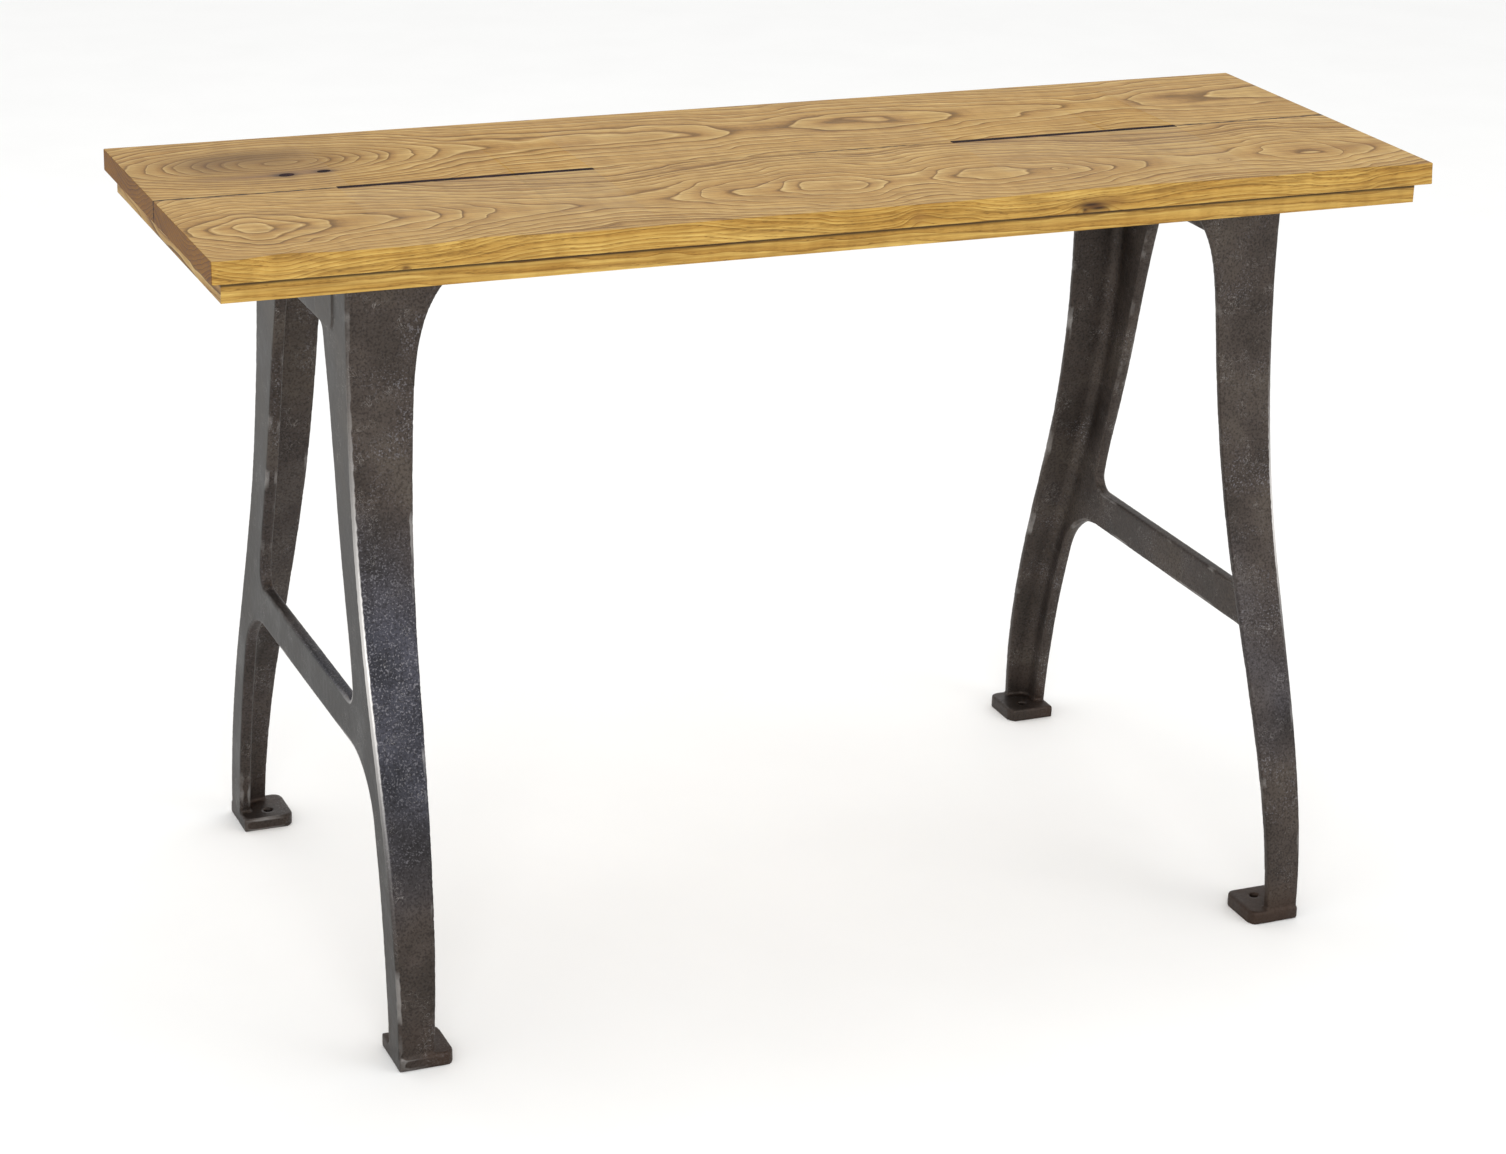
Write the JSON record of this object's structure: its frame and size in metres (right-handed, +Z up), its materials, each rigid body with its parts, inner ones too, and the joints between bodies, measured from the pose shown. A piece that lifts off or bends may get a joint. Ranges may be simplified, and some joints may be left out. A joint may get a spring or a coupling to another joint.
{
  "type": "work table",
  "caption": "Narrow desk-height work table: glued ash board top with a waney front edge on a pair of splayed cast-iron A-frame legs.",
  "frame": {"origin": "on the floor, midway between the four feet", "axes": "+X along the top to the right as seen from the front, +Y to the rear, +Z up; the waney edge is the front"},
  "size_m": [1.228, 0.604, 0.762],
  "materials": {
    "ash_top": "satin clear oil over sanded ash",
    "ash_rail": "satin clear oil over planed ash",
    "dowel_beech": "plain beech",
    "resin": "hard black-brown casting resin, sanded flush",
    "cast_iron": "bare sand-cast iron, wire brushed and waxed",
    "zinc_steel": "zinc plated",
    "screw_steel": "yellow passivated"
  },
  "bodies": {
    "root": {"top_board_front": "ash_top", "top_board_rear": "ash_top", "seam_resin_left": "resin", "seam_resin_right": "resin", "knot_fill_large": "resin", "knot_fill_small": "resin", "seam_dowels": "dowel_beech", "rail_front": "ash_rail", "rail_rear": "ash_rail", "rail_left": "ash_rail", "rail_right": "ash_rail", "cleat_left": "ash_rail", "cleat_right": "ash_rail", "leg_frame_left": "cast_iron", "leg_frame_right": "cast_iron", "leg_bolts_left": "zinc_steel", "leg_bolts_right": "zinc_steel", "leg_washers_left": "zinc_steel", "leg_washers_right": "zinc_steel", "rail_screws": "screw_steel", "cleat_screws": "screw_steel"}
  },
  "joints": []
}
